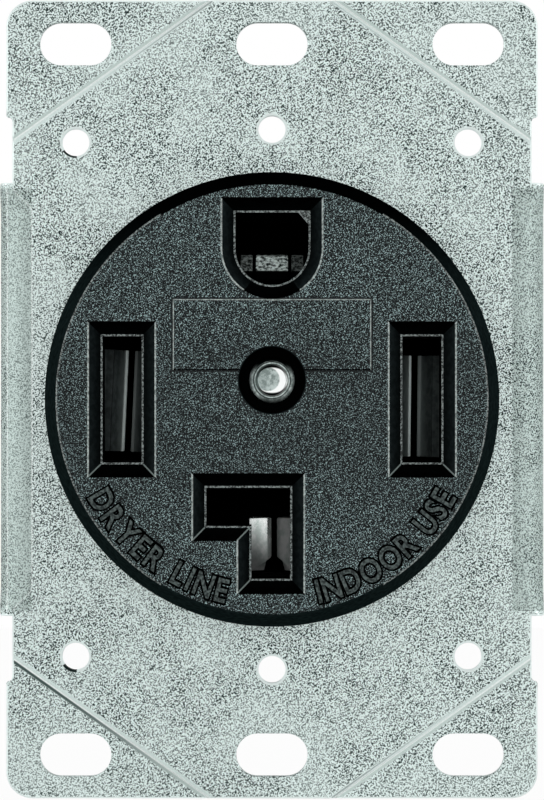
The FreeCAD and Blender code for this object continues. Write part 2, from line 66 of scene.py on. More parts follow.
meshCare = {"mergeReach": 0.002, "smoothAngle": 34, "faceWeight": 70}


def dropAll():
    bpy.ops.object.select_all(action="DESELECT")


def pickUp(piece):
    dropAll()
    piece.select_set(True)
    bpy.context.view_layer.objects.active = piece


def editMode(on):
    bpy.ops.object.mode_set(mode="EDIT" if on else "OBJECT")


def applyAll(piece):
    pickUp(piece)
    for modifier in list(piece.modifiers):
        bpy.ops.object.modifier_apply(modifier=modifier.name)


def settle(piece, slot, *stoodFor):
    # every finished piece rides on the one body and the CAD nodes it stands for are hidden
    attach(piece, "root")
    if stoodFor:
        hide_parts(*stoodFor)


def dress(piece, finishes):
    for material in finishes.values():
        piece.data.materials.append(material)


def copyNode(nodeName, pieceName):
    # merged copy of a CAD node
    piece = bpy.data.objects.new(pieceName, nodes[nodeName].data.copy())
    bpy.context.scene.collection.objects.link(piece)
    piece.data.materials.clear()
    pickUp(piece)
    bpy.ops.mesh.customdata_custom_splitnormals_clear()
    editMode(True)
    bpy.ops.mesh.select_all(action="SELECT")
    bpy.ops.mesh.remove_doubles(threshold=meshCare["mergeReach"] * mm)
    bpy.ops.mesh.mark_sharp(clear=True)
    editMode(False)
    return piece


def cornerOf(first, second):
    # degrees between two faces, below zero at an inside corner
    large, small = (first, second) if first.area > second.area else (second, first)
    turn = math.degrees(large.normal.angle(small.normal, 0))
    return turn if (small.center - large.center).dot(large.normal) < 0 else -turn


def sharperThan(limit):
    return lambda ends, first, second: 1.0 if cornerOf(first, second) > limit else 0.0


def softenEdges(piece, width, weigh, segments=2, edgeSlot=-1):
    # rounds each edge by its own share of the width, then lets the large faces set the shading
    mesh = piece.data
    beside = {}
    for face in mesh.polygons:
        for key in face.edge_keys:
            beside.setdefault(key, []).append(face)
    shares = []
    for edge in mesh.edges:
        pair = beside[edge.key]
        ends = [mesh.vertices[index].co / mm for index in edge.vertices]
        shares.append(weigh(ends, *pair) if len(pair) == 2 else 0.0)
    mesh.attributes.new("bevel_weight_edge", "FLOAT", "EDGE").data.foreach_set("value", shares)
    rounding = piece.modifiers.new("edgeRounding", "BEVEL")
    rounding.width = width * mm
    rounding.segments = segments
    rounding.limit_method = "WEIGHT"
    rounding.use_clamp_overlap = False
    rounding.loop_slide = False
    rounding.material = edgeSlot
    applyAll(piece)
    mesh.attributes.remove(mesh.attributes["bevel_weight_edge"])
    shadeByFaces(piece)


def shadeByFaces(piece):
    pickUp(piece)
    bpy.ops.object.shade_smooth_by_angle(angle=math.radians(meshCare["smoothAngle"]))
    shading = piece.modifiers.new("faceNormals", "WEIGHTED_NORMAL")
    shading.weight = meshCare["faceWeight"]
    shading.keep_sharp = True
    applyAll(piece)


def turnedPiece(name, profile, middle, steps=72):
    # lathe work by extruding and resizing a disc; profile is radius and depth in mm, rear to front
    dropAll()
    radius, depth = profile[0]
    spot = (middle[0] * mm, depth * mm, middle[1] * mm)
    bpy.ops.mesh.primitive_circle_add(
        vertices=steps, radius=radius * mm, fill_type="NGON", location=spot, rotation=(math.pi / 2, 0, 0)
    )
    piece = bpy.context.object
    piece.name = name
    bpy.ops.object.transform_apply(location=True, rotation=True, scale=True)
    editMode(True)
    bpy.ops.mesh.select_all(action="SELECT")
    for nextRadius, nextDepth in profile[1:]:
        bpy.ops.mesh.extrude_region_move(TRANSFORM_OT_translate={"value": (0, (nextDepth - depth) * mm, 0)})
        ratio = nextRadius / radius
        spot = (middle[0] * mm, nextDepth * mm, middle[1] * mm)
        bpy.ops.transform.resize(value=(ratio, 1, ratio), center_override=spot)
        radius, depth = nextRadius, nextDepth
    bpy.ops.mesh.select_all(action="SELECT")
    bpy.ops.mesh.normals_make_consistent(inside=False)
    editMode(False)
    shadeByFaces(piece)
    return piece


# shader maths: a wrapped socket that takes Python operators

class Signal:
    def __init__(self, finish, socket):
        self.finish = finish
        self.socket = socket

    def maths(self, operation, first, second=None):
        inputs = {0: first}
        if second is not None:
            inputs[1] = second
        return self.finish.node("ShaderNodeMath", {"operation": operation}, inputs)

    def __add__(self, other):
        return self.maths("ADD", self, other)

    def __radd__(self, other):
        return self.maths("ADD", other, self)

    def __sub__(self, other):
        return self.maths("SUBTRACT", self, other)

    def __rsub__(self, other):
        return self.maths("SUBTRACT", other, self)

    def __mul__(self, other):
        return self.maths("MULTIPLY", self, other)

    def __rmul__(self, other):
        return self.maths("MULTIPLY", other, self)

    def __truediv__(self, other):
        return self.maths("DIVIDE", self, other)

    def __abs__(self):
        return self.maths("ABSOLUTE", self)

    def most(self, other):
        return self.maths("MAXIMUM", self, other)

    def least(self, other):
        return self.maths("MINIMUM", self, other)

    def root(self):
        return self.maths("SQRT", self)

    def ramp(self, low, high):
        # 0 at low, 1 at high, eased in between
        settings = {"interpolation_type": "SMOOTHSTEP"}
        inputs = {"Value": self, "From Min": low, "From Max": high}
        return self.finish.node("ShaderNodeMapRange", settings, inputs)


class Finish:
    # one material: nodes are added by type, settings and sockets
    def __init__(self, name):
        self.material = bpy.data.materials.new(name)
        self.material.use_nodes = True
        self.tree = self.material.node_tree
        self.tree.nodes.clear()

    def node(self, kind, settings, inputs, output=0):
        made = self.tree.nodes.new(kind)
        for key, value in settings.items():
            setattr(made, key, value)
        for key, value in inputs.items():
            if isinstance(value, Signal):
                self.tree.links.new(value.socket, made.inputs[key])
            else:
                made.inputs[key].default_value = value
        return Signal(self, made.outputs[output])

    def place(self):
        # object coordinates in millimetres
        spot = self.node("ShaderNodeTexCoord", {}, {}, "Object")
        return self.node("ShaderNodeVectorMath", {"operation": "SCALE"}, {0: spot, "Scale": 1 / mm})

    def axes(self, spot):
        return [self.node("ShaderNodeSeparateXYZ", {}, {0: spot}, axis) for axis in "XYZ"]

    def noise(self, spot, size, detail, rough):
        # size is about the width of one blotch in mm; the lattice is turned away from the flat faces
        turned = self.node("ShaderNodeMapping", {}, {"Vector": spot, "Rotation": (0.7, 0.45, 0.3)})
        inputs = {"Vector": turned, "Scale": 1 / size, "Detail": detail, "Roughness": rough}
        return self.node("ShaderNodeTexNoise", {}, inputs, "Fac")

    def blend(self, factor, first, second):
        # colours only; indexes 6 and 7 are the colour sockets of a Mix node
        return self.node("ShaderNodeMix", {"data_type": "RGBA"}, {0: factor, 6: first, 7: second}, 2)

    def bump(self, height, strength, distance):
        inputs = {"Height": height, "Strength": strength, "Distance": distance * mm}
        return self.node("ShaderNodeBump", {}, inputs)

    def surface(self, **inputs):
        # keywords are the shader's socket names with the spaces left out
        shader = self.tree.nodes.new("ShaderNodeBsdfPrincipled")
        sockets = {socket.name.replace(" ", ""): socket for socket in shader.inputs}
        for key, value in inputs.items():
            if isinstance(value, Signal):
                self.tree.links.new(value.socket, sockets[key])
            else:
                sockets[key].default_value = value
        end = self.tree.nodes.new("ShaderNodeOutputMaterial")
        self.tree.links.new(shader.outputs[0], end.inputs["Surface"])
        return self.material


def linearLevel(level):
    # screen level of 0 to 255 as light
    share = level / 255
    return ((share + 0.055) / 1.055) ** 2.4 if level > 10 else share / 12.92


def tint(red, green, blue):
    # colour given in screen levels
    return (linearLevel(red), linearLevel(green), linearLevel(blue), 1)


def offLine(x, z, start, end):
    # distance from a line of the front view, above zero to the left of the way from start to end
    (startX, startZ), (endX, endZ) = start, end
    length = math.hypot(endX - startX, endZ - startZ)
    return ((z - startZ) * (endX - startX) - (x - startX) * (endZ - startZ)) / length


def awayFrom(x, z, middle):
    # distance from a point of the front view
    offX, offZ = x - middle[0], z - middle[1]
    return (offX * offX + offZ * offZ).root()


def lineAt(distance, reach):
    # 1 along a drawn line, fading to 0 over its reach
    return 1 - abs(distance).ramp(*reach)


# finishes

zinc = {
    "pale": tint(232, 246, 243),
    "dark": tint(0, 40, 37),
    "rim": tint(226, 236, 234),
    "wing": tint(204, 219, 215),
    "shade": tint(24, 30, 29),
    "metallic": 0.8,
    "rough": 0.46,
    "speckSize": 0.165,
    "speckRange": (0.385, 0.55),
    "patchSize": 8.0,
    "patchRange": (0.36, 0.64),
    # strength of the specks everywhere and in the patches
    "contrast": (0.77, 0.43),
    # the band along each bend is a painted highlight with painted highlight lines at its edges; the wing colour
    # is painted shade
    "bandInner": 28.15,
    "bandOuter": 30.3,
    "bandTop": (22.0, 24.9),
    "bandSoft": 0.1,
    "bandExtra": 0.8,
    "bandLine": (0.03, 0.13),
    "bandGlow": 0.6,
    # how far the specks fade in both bands, in the left one besides, in the grooves and on the lines; in the
    # bands and on the lines the fading is painted highlight
    "fade": (0.16, 0.2, 0.9, 0.4),
    "grooveEnds": ((7.4, 46.7), (30.45, 30.3)),
    "grooveFront": (-0.8, -0.7),
    "grooveSmooth": 0.52,
    "grooveHalf": 0.325,
    "grooveRise": 0.44,
    # the two groove flank colours are painted light and shade, the line colour a painted highlight
    "grooveInner": tint(222, 236, 233),
    "grooveOuter": tint(203, 218, 214),
    "grooveShade": tint(74, 92, 88),
    "grooveShadeFrom": (4.0, 27.0),
    "grooveLine": tint(248, 255, 253),
    "grooveLineOff": 0.03,
    "grooveLineReach": (0.04, 0.14),
}


def zincBands(x, z):
    # band along each wing bend where the specks fade, a painted highlight, running to a point at its ends
    low, high = zinc["bandTop"]
    soft = zinc["bandSoft"]
    inner = zinc["bandInner"] + (zinc["bandOuter"] - zinc["bandInner"]) * abs(z).ramp(low, high)
    within = 1 - abs(z).ramp(high - 2 * soft, high)
    # wider on the left, with a painted highlight line on either side
    left = (0 - x).ramp(0.0, 1.0)
    outer = zinc["bandOuter"] + zinc["bandExtra"] * left
    band = abs(x).ramp(inner - soft, inner + soft) * (1 - abs(x).ramp(outer - soft, outer + 2 * soft)) * within
    sides = lineAt(abs(x) - inner, zinc["bandLine"]).most(lineAt(abs(x) - outer, zinc["bandLine"]))
    # beyond the band's inner edge the darker wing colour goes on, painted shade where the sheet bends away
    wing = abs(x).ramp(zinc["bandInner"] - soft, zinc["bandInner"] + soft) * within
    return left, band, sides * within * left, wing


def zincGrooves(finish, x, y, z):
    # smooth metal in the score grooves, its two flanks painted lighter and darker as light and shade, a painted
    # highlight line at the bottom
    aside = offLine(abs(x), abs(z), *zinc["grooveEnds"])
    reach = zinc["grooveSmooth"]
    groove = lineAt(aside, (reach * 0.7, reach)) * (1 - y.ramp(*zinc["grooveFront"]))
    flatten = (1 - (abs(aside) / zinc["grooveHalf"]).least(1.0)) * groove
    # the lower left one lies in shade on its outer side
    outside = aside.ramp(-0.06, 0.06)
    lowerLeft = (0 - x).ramp(*zinc["grooveShadeFrom"]) * (0 - z).ramp(0.0, 1.0)
    scored = finish.blend(outside, zinc["grooveInner"], zinc["grooveOuter"])
    scored = finish.blend(outside * lowerLeft, scored, zinc["grooveShade"])
    bottomHighlight = lineAt(aside - zinc["grooveLineOff"], zinc["grooveLineReach"])
    return groove, flatten, finish.blend(bottomHighlight, scored, zinc["grooveLine"])


def zincFinish():
    finish = Finish("zincSpeckle")
    spot = finish.place()
    x, y, z = finish.axes(spot)
    fine = finish.noise(spot, zinc["speckSize"], 1.0, 0.6)
    patch = finish.noise(spot, zinc["patchSize"], 3.0, 0.6).ramp(*zinc["patchRange"])
    left, band, bandLine, wing = zincBands(x, z)
    groove, flatten, scored = zincGrooves(finish, x, y, z)
    everywhere, inPatches = zinc["contrast"]
    bothFade, leftFade, grooveFade, lineFade = zinc["fade"]
    # the real specks fade where highlights are painted on the bands and lines
    contrast = (everywhere + inPatches * patch) * (1 - (bothFade + leftFade * left) * band)
    contrast = contrast * (1 - grooveFade * groove) * (1 - lineFade * bandLine)
    specksFadedByHighlight = (1 - fine.ramp(*zinc["speckRange"])) * contrast
    # painted shade on the wings, painted highlight lines and painted groove light and shade over the coat
    coatAndPaintedLight = finish.blend(wing, zinc["pale"], zinc["wing"])
    coatAndPaintedLight = finish.blend(zinc["bandGlow"] * bandLine, coatAndPaintedLight, zinc["grooveLine"])
    coatAndPaintedLight = finish.blend(groove, coatAndPaintedLight, scored)
    return finish.surface(
        BaseColor=finish.blend(specksFadedByHighlight, coatAndPaintedLight, zinc["dark"]),
        Metallic=zinc["metallic"],
        Roughness=zinc["rough"] + 0.2 * specksFadedByHighlight + 0.14 * wing,
        Normal=finish.bump(0.006 * fine + zinc["grooveRise"] * flatten, 1.0, 1.0),
    )


def zincRimFinish():
    finish = Finish("zincRim")
    haze = finish.noise(finish.place(), 0.5, 2.0, 0.6)
    colour = finish.blend(haze.ramp(0.3, 0.8), zinc["rim"], zinc["pale"])
    return finish.surface(BaseColor=colour, Metallic=zinc["metallic"], Roughness=0.36 + 0.1 * haze)


def zincHoleFinish():
    # hole walls that shine to the front
    finish = Finish("zincHole")
    spot = finish.place()
    x, y, z = finish.axes(spot)
    haze = finish.noise(spot, 0.4, 2.0, 0.6)
    return finish.surface(
        BaseColor=finish.blend(haze.ramp(0.3, 0.8), zinc["rim"], zinc["pale"]),
        Metallic=zinc["metallic"],
        Roughness=0.3 + 0.1 * haze,
        Normal=finish.bump(y, 1.0, 2.0),
    )


def zincShadeFinish():
    finish = Finish("zincShade")
    haze = finish.noise(finish.place(), 0.5, 2.0, 0.6)
    colour = finish.blend(haze, zinc["shade"], zinc["dark"])
    return finish.surface(BaseColor=colour, Metallic=0.6, Roughness=0.6 + 0.2 * haze)


coverPlastic = {
    "low": tint(0, 4, 5),
    "high": tint(184, 212, 213),
    "grainSize": 0.13,
    "sparkle": (0.53, 0.7),
    "cloudSize": 9.0,
    # strength of the sparkle everywhere, in the clouds and away from the line slots
    "tone": (0.73, 0.26, 0.27),
    "slotMiddle": -3,
    "slotReach": (6.0, 14.0),
    "gateSpot": (13.4, 16.1),
    "gateRadius": 2.4,
    "gateLine": (0.03, 0.14),
    "panelSide": 11.5,
    "panelMiddle": 7.505,
    "panelHalf": 4.125,
    "seamOff": 0.1,
    "seamLine": (0.06, 0.15),
}


def coverFaceFinish():
    finish = Finish("coverGrain")
    spot = finish.place()
    x, y, z = finish.axes(spot)
    grain = finish.noise(spot, coverPlastic["grainSize"], 1.0, 0.6)
    cloud = finish.noise(spot, coverPlastic["cloudSize"], 2.0, 0.5).ramp(0.3, 0.7)
    # the grain is real, but its light speckle is painted sheen of the black textured face
    sparkle = grain.ramp(*coverPlastic["sparkle"])
    # a little lighter above and below the line slots
    everywhere, inClouds, fromSlots = coverPlastic["tone"]
    pastSlots = abs(z - coverPlastic["slotMiddle"]).ramp(*coverPlastic["slotReach"])
    tone = everywhere + inClouds * cloud + fromSlots * pastSlots
    # faint round mark of the moulding gate
    fromGate = awayFrom(x, z, coverPlastic["gateSpot"])
    ring = lineAt(fromGate - coverPlastic["gateRadius"], coverPlastic["gateLine"])
    # painted shadow round the raised panel
    pastEnds = abs(z - coverPlastic["panelMiddle"]) - coverPlastic["panelHalf"]
    pastPanel = (abs(x) - coverPlastic["panelSide"]).most(pastEnds)
    panelShadow = lineAt(pastPanel - coverPlastic["seamOff"], coverPlastic["seamLine"])
    light = sparkle * tone * (1 - 0.35 * ring) * (1 - 0.9 * panelShadow)
    return finish.surface(
        BaseColor=finish.blend(light, coverPlastic["low"], coverPlastic["high"]),
        Roughness=0.52 - 0.1 * sparkle,
        Normal=finish.bump(grain - 0.6 * ring, 0.3, 0.04),
        SpecularIORLevel=0.2,
    )


coverFlank = {
    "top": -7.2,
    "foot": -5.75,
    "sink": 0.75,
    "deep": tint(4, 6, 6),
    "hip": tint(142, 155, 152),
    "hipLine": (0.03, 0.12),
    "hipEnd": 0.08,
}
coverHips = {
    # lower corners of the slot bevels, from the ledge out to the face
    "lineSlots": ((14.93, -7.56), (13.55, -8.94)),
    "lineSlotsOuter": ((19.92, -7.56), (21.3, -8.94)),
    "neutralArm": ((-7.85, -14.93), (-9.23, -16.31)),
    "neutralInside": ((-2.62, -14.93), (-4.0, -16.31)),
    "neutralStem": ((-2.62, -21.07), (-4.0, -22.45)),
}


def hipHighlights(x, z):
    # painted highlight lines along the lower corners of the slot bevels
    lines = 0
    for name, (foot, top) in coverHips.items():
        across = abs(x) if name.startswith("line") else x
        half = math.dist(foot, top) / 2
        middle = ((foot[0] + top[0]) / 2, (foot[1] + top[1]) / 2)
        within = 1 - awayFrom(across, z, middle).ramp(half, half + coverFlank["hipEnd"])
        lines = lineAt(offLine(across, z, foot, top), coverFlank["hipLine"]) * within + lines
    return lines


def coverSmoothFinish(name, low, high):
    finish = Finish(name)
    spot = finish.place()
    x, y, z = finish.axes(spot)
    haze = finish.noise(spot, 0.6, 2.0, 0.6)
    colour = finish.blend(haze.ramp(0.3, 0.7), low, high)
    # darker deeper down the slots, painted shade
    sunkShade = coverFlank["sink"] * y.ramp(coverFlank["top"], coverFlank["foot"])
    colour = finish.blend(sunkShade, colour, coverFlank["deep"])
    colour = finish.blend(hipHighlights(x, z), colour, coverFlank["hip"])
    return finish.surface(BaseColor=colour, Roughness=0.6 + 0.1 * haze, SpecularIORLevel=0.0)


coverRim = {
    "low": tint(16, 25, 25),
    "high": tint(28, 39, 39),
    "top": tint(2, 3, 3),
    "topFrom": (10, 23),
}


def coverRimFinish():
    finish = Finish("coverRim")
    spot = finish.place()
    x, y, z = finish.axes(spot)
    haze = finish.noise(spot, 0.6, 2.0, 0.6)
    colour = finish.blend(haze.ramp(0.3, 0.7), coverRim["low"], coverRim["high"])
    # darker towards the top, painted shade
    colour = finish.blend(z.ramp(*coverRim["topFrom"]), colour, coverRim["top"])
    return finish.surface(BaseColor=colour, Roughness=0.6 + 0.1 * haze, SpecularIORLevel=0.0)


coverTones = {
    # grain is size, detail and roughness of the noise; rough is the surface and what the noise adds
    "coverRubbed": {
        "low": tint(104, 115, 113), "high": tint(212, 224, 221),
        "grain": (0.3, 2.0, 0.7), "range": (0.32, 0.68), "rough": (0.4, 0.15), "sheen": 0.3,
    },
    "coverLedge": {
        "low": tint(26, 32, 31), "high": tint(160, 171, 169),
        "grain": (0.22, 1.0, 0.5), "range": (0.36, 0.66), "rough": (0.45, -0.1), "sheen": 0.3,
    },
    "coverLetter": {
        "low": tint(36, 44, 44), "high": tint(98, 110, 108),
        "grain": (0.3, 1.0, 0.5), "range": (0.35, 0.7), "rough": (0.5, -0.1), "sheen": 0.2,
    },
}


def coverToneFinish(name):
    # rounded edges painted pale as highlights, grained ledges and letter tops with their light speckle partly
    # painted sheen
    tone = coverTones[name]
    finish = Finish(name)
    grain = finish.noise(finish.place(), *tone["grain"])
    rough, change = tone["rough"]
    return finish.surface(
        BaseColor=finish.blend(grain.ramp(*tone["range"]), tone["low"], tone["high"]),
        Roughness=rough + change * grain,
        SpecularIORLevel=tone["sheen"],
    )


bodyPlastic = {"low": tint(22, 25, 26), "high": tint(64, 70, 71), "grainSize": 0.35, "cloudSize": 14.0}


def bodyFinish():
    finish = Finish("bodyPlastic")
    spot = finish.place()
    grain = finish.noise(spot, bodyPlastic["grainSize"], 2.0, 0.6)
    cloud = finish.noise(spot, bodyPlastic["cloudSize"], 2.0, 0.5)
    light = grain.ramp(0.4, 0.75) * (0.6 + 0.4 * cloud)
    return finish.surface(
        BaseColor=finish.blend(light, bodyPlastic["low"], bodyPlastic["high"]),
        Roughness=0.5 - 0.1 * grain,
        Normal=finish.bump(grain, 0.25, 0.03),
        SpecularIORLevel=0.35,
    )


metals = {
    # name: pale colour, dark colour, roughness, blotch size
    "contact_brass": (tint(206, 212, 205), tint(150, 158, 150), 0.26, 1.6),
    "rivet_steel": (tint(190, 203, 200), tint(128, 141, 138), 0.28, 0.5),
    "clamp_steel": (tint(190, 194, 192), tint(128, 134, 132), 0.34, 0.8),
    "screw_brass": (tint(214, 176, 98), tint(168, 128, 62), 0.28, 0.9),
    "screw_nickel": (tint(214, 214, 208), tint(160, 162, 158), 0.25, 0.9),
    "screw_green": (tint(52, 132, 74), tint(24, 84, 44), 0.30, 0.8),
}


def metalFinish(slot):
    pale, dark, rough, size = metals[slot]
    finish = Finish(slot + "Finish")
    spot = finish.place()
    stain = finish.noise(spot, size, 3.0, 0.6)
    fine = finish.noise(spot, size / 6, 2.0, 0.5)
    return finish.surface(
        BaseColor=finish.blend(stain.ramp(0.3, 0.75), pale, dark),
        Metallic=1.0,
        Roughness=rough + 0.16 * stain,
        Normal=finish.bump(fine, 0.12, 0.02),
    )


contactLooks = {
    # roll is where the leaf rolls over and turn how far that faces the front, in mm; the band colour is a
    # painted highlight where it rolls over
    # the leaf past the slit, which may lean, is darkened as painted shade
    "line_1_contact": {
        "pale": tint(120, 130, 130), "dark": tint(90, 99, 99), "band": tint(216, 228, 225),
        "shine": 0.35, "rough": 0.3, "blotch": 1.2, "roll": (5.3, 7.4), "turn": 4.2,
        "slit": -16.92, "lean": 0.045, "faint": 0.55,
    },
    "line_2_contact": {
        "pale": tint(112, 122, 121), "dark": tint(84, 93, 93), "band": tint(214, 227, 225),
        "shine": 0.35, "rough": 0.3, "blotch": 1.2, "roll": (5.3, 7.4), "turn": 4.2,
        "slit": 16.92, "lean": -0.01, "faint": 0.45,
    },
    "neutral_contact": {
        "pale": tint(250, 253, 252), "dark": tint(214, 226, 222),
        "shine": 0.8, "rough": 0.16, "blotch": 1.4, "roll": (0.6, 4.6), "turn": 3.7,
        "slit": 0.27, "lean": 0.0, "faint": 0.7,
        "slant": 0.5, "fall": (-20.6, -14.6), "dull": 0.8, "slotEdge": (-2.7, -2.6),
    },
    "ground_contact": {
        "pale": tint(214, 228, 224), "dark": tint(34, 41, 40),
        "shine": 0.4, "rough": 0.35, "blotch": 0.4, "roll": (1.2, 5.2), "turn": 4.0,
        "leafTop": (17.0, 17.8), "leafEnd": (15.1, 15.25),
        "sides": (1.95, 2.05), "leftDim": 0.5, "rightDim": 0.7,
    },
}
contactDepth = {
    # depths over which the leaves darken into painted shade, and its colour
    "dark": (8.4, 10.5),
    "tint": tint(3, 4, 4),
    "mouth": 2.14,
    "mouthDim": 0.6,
    "bandRise": 0.6,
    "slitGlow": 0.6,
    "slitReach": (0.35, 1.6),
}


def contactFinish(nodeName):
    # leaf metal painted dark with depth behind the slots, painted shade
    look = contactLooks[nodeName]
    finish = Finish(nodeName.split("_contact")[0] + "Leaf")
    spot = finish.place()
    x, y, z = finish.axes(spot)
    low, high = look["roll"]
    stain = finish.noise(spot, look["blotch"], 3.0, 0.65)
    leaf = finish.blend(stain.ramp(0.36, 0.64), look["pale"], look["dark"])
    shade = y.ramp(*contactDepth["dark"])
    if "slit" in look:
        fromSlit = x - look["slit"] - look["lean"] * z
        shade = shade.most(fromSlit.ramp(-0.1, 0.1) * look["faint"])
    if nodeName == "neutral_contact":
        # bright at the upper end of the left leaf, darker at the lower end and past the slot's edge, both
        # painted shade
        fall = 1 - (z + look["slant"] * x).ramp(*look["fall"])
        shade = shade.most(fall * look["dull"]).most(1 - x.ramp(*look["slotEdge"]))
    elif nodeName == "ground_contact":
        # only the lower leaf catches light, and not on its end; the blocks beside it are dim
        shade = shade.most(z.ramp(*look["leafTop"])).most(1 - z.ramp(*look["leafEnd"]))
        shade = shade.most((0 - x).ramp(*look["sides"]) * look["leftDim"])
        shade = shade.most(x.ramp(*look["sides"]) * look["rightDim"])
    else:
        # lip dimmed by painted shade, painted highlights where it rolls over and near the slit
        mouth = contactDepth["mouth"]
        shade = shade.most((1 - y.ramp(mouth, mouth + 0.1)) * contactDepth["mouthDim"])
        near = lineAt(fromSlit, contactDepth["slitReach"])
        bandMix = y.ramp(low, low + contactDepth["bandRise"]).most(near * contactDepth["slitGlow"])
        leaf = finish.blend(bandMix, leaf, look["band"])
    return finish.surface(
        BaseColor=finish.blend(shade, leaf, contactDepth["tint"]),
        Metallic=look["shine"] * (1 - shade),
        Roughness=look["rough"] + 0.12 * stain + 0.3 * shade,
        SpecularIORLevel=0.0,
        Normal=finish.bump(y.ramp(low, high) + 0.01 * stain, 1.0, look["turn"]),
    )


rivetMiddle = (0.0, 2.23)
rivetRing = {
    "crease": (1.46, 1.8, 1.9),
    "creaseSoft": 0.08,
    "flange": (2.16, 0.12),
    "shadeAbove": (0.25, 0.8),
    "shadeBelow": (0.7, 1.0),
    "belowShare": 0.75,
    "crescent": (-0.5, 0.12),
    "crescentReach": (1.28, 1.48),
    "leftDim": 0.4,
    "leftReach": (0.1, 1.2),
    "front": (-4.5, -4.0),
    "dark": tint(4, 7, 7),
    "bright": tint(252, 255, 254),
}


def rivetFinish():
    pale, dark, rough, size = metals["rivet_steel"]
    finish = Finish("rivetSteel")
    spot = finish.place()
    x, y, z = finish.axes(spot)
    offX, offZ = x - rivetMiddle[0], z - rivetMiddle[1]
    radius = awayFrom(x, z, rivetMiddle)
    rise = offZ / radius
    front = 1 - y.ramp(*rivetRing["front"])
    # painted shade in the hollow between cup and bead, wide above and below
    wide, narrow, outer = rivetRing["crease"]
    soft = rivetRing["creaseSoft"]
    inner = narrow - (narrow - wide) * rise * rise
    crease = radius.ramp(inner - soft, inner + soft) * (1 - radius.ramp(outer - soft, outer + soft / 2))
    # the flange lies in shade above and a little below
    edge, softEdge = rivetRing["flange"]
    flange = radius.ramp(edge, edge + softEdge)
    below = (0 - rise).ramp(*rivetRing["shadeBelow"]) * rivetRing["belowShare"]
    shaded = flange * rise.ramp(*rivetRing["shadeAbove"]).most(below)
    stain = finish.noise(spot, size, 3.0, 0.7)
    steel = finish.blend(stain.ramp(0.38, 0.62), pale, dark)
    # dimmer on the left, crescent of light at the lower right of the cup
    dim = rivetRing["leftDim"] * (0 - offX).ramp(*rivetRing["leftReach"]) * (1 - flange)
    steel = finish.blend(dim, steel, dark)
    crescent = awayFrom(offX, offZ, rivetRing["crescent"]).ramp(*rivetRing["crescentReach"])
    crescent = crescent * (1 - radius.ramp(outer - 0.1, outer)) * front
    steel = finish.blend(crescent, steel, rivetRing["bright"])
    return finish.surface(
        BaseColor=finish.blend(crease.most(shaded) * front, steel, rivetRing["dark"]),
        Metallic=1.0,
        Roughness=rough + 0.2 * stain * (1 - crescent),
        Normal=finish.bump(stain * (1 - crescent), 0.3, 0.05),
    )


def numbered(finishes):
    return {name: index for index, name in enumerate(finishes)}


strapFinishes = {
    "speckle": zincFinish(),
    "rim": zincRimFinish(),
    "shade": zincShadeFinish(),
    "hole": zincHoleFinish(),
}
coverFinishes = {
    "face": coverFaceFinish(),
    "dark": coverSmoothFinish("coverDark", tint(1, 1, 1), tint(3, 4, 4)),
    "rubbed": coverToneFinish("coverRubbed"),
    "ledge": coverToneFinish("coverLedge"),
    # side walls of the bevels lighter than the dark ones, painted light from the sides
    "flank": coverSmoothFinish("coverFlank", tint(20, 26, 27), tint(32, 39, 40)),
    "rim": coverRimFinish(),
    "letter": coverToneFinish("coverLetter"),
}
onStrap, onCover = numbered(strapFinishes), numbered(coverFinishes)
bodyMoulding = bodyFinish()
metalFinishes = {slot: rivetFinish() if slot == "rivet_steel" else metalFinish(slot) for slot in metals}
contactFinishes = {nodeName: contactFinish(nodeName) for nodeName in contactLooks}
print("finishes ready")


# mounting strap: CAD form with rolled, paler edges

strapEdge = {
    "width": 0.2,
    "corner": 60,
    "stepX": (29.4, 31.9),
    "stepZ": (31.0, 34.6),
    "plateHoles": ((23.02, 30.15), (0.0, 31.7)),
    "holeReach": 2.1,
    "holeTilt": 0.97,
    "shadeWay": (0.45, 0.9),
    "shadeLimit": 0.86,
    "shadeLeftOf": -10,
    "slots": (23.02, 41.67),
    "slotReach": (4.6, 2.9),
    "slotTilt": 0.3,
}


def strapShare(ends, first, second):
    # the small fillets at the ear steps stay as they are
    (lowX, highX), (lowZ, highZ) = strapEdge["stepX"], strapEdge["stepZ"]
    if all(lowX < abs(end.x) < highX and lowZ < abs(end.z) < highZ for end in ends):
        return 0.0
    return 1.0 if cornerOf(first, second) > strapEdge["corner"] else 0.0


def byPlateHole(spot):
    away = [math.hypot(abs(spot.x) - x, abs(spot.z) - z) for x, z in strapEdge["plateHoles"]]
    return min(away) < strapEdge["holeReach"]


def byScrewSlot(spot):
    (slotX, slotZ), (reachX, reachZ) = strapEdge["slots"], strapEdge["slotReach"]
    across = min(abs(spot.x), abs(abs(spot.x) - slotX))
    return across < reachX and abs(abs(spot.z) - slotZ) < reachZ


def makeStrap():
    strap = copyNode("mounting_strap", "strapSheet")
    dress(strap, strapFinishes)
    softenEdges(strap, strapEdge["width"], strapShare, 3, onStrap["rim"])
    # bright plate screw holes, those on the left in shade at the lower left; specks run on round the slots
    wayX, wayZ = strapEdge["shadeWay"]
    for face in strap.data.polygons:
        spot, normal = face.center / mm, face.normal
        if byPlateHole(spot) and abs(normal.y) < strapEdge["holeTilt"]:
            limit = strapEdge["shadeLimit"] * math.hypot(normal.x, normal.z)
            shaded = spot.x < strapEdge["shadeLeftOf"] and normal.x * wayX + normal.z * wayZ > limit
            face.material_index = onStrap["shade" if shaded else "hole"]
        elif byScrewSlot(spot) and -normal.y > strapEdge["slotTilt"]:
            face.material_index = onStrap["speckle"]
    settle(strap, "zinc_steel", "mounting_strap")


makeStrap()
print("strap done")


# face cover: grained face and ledges, smooth dark bevels and rim, thin rounded edges

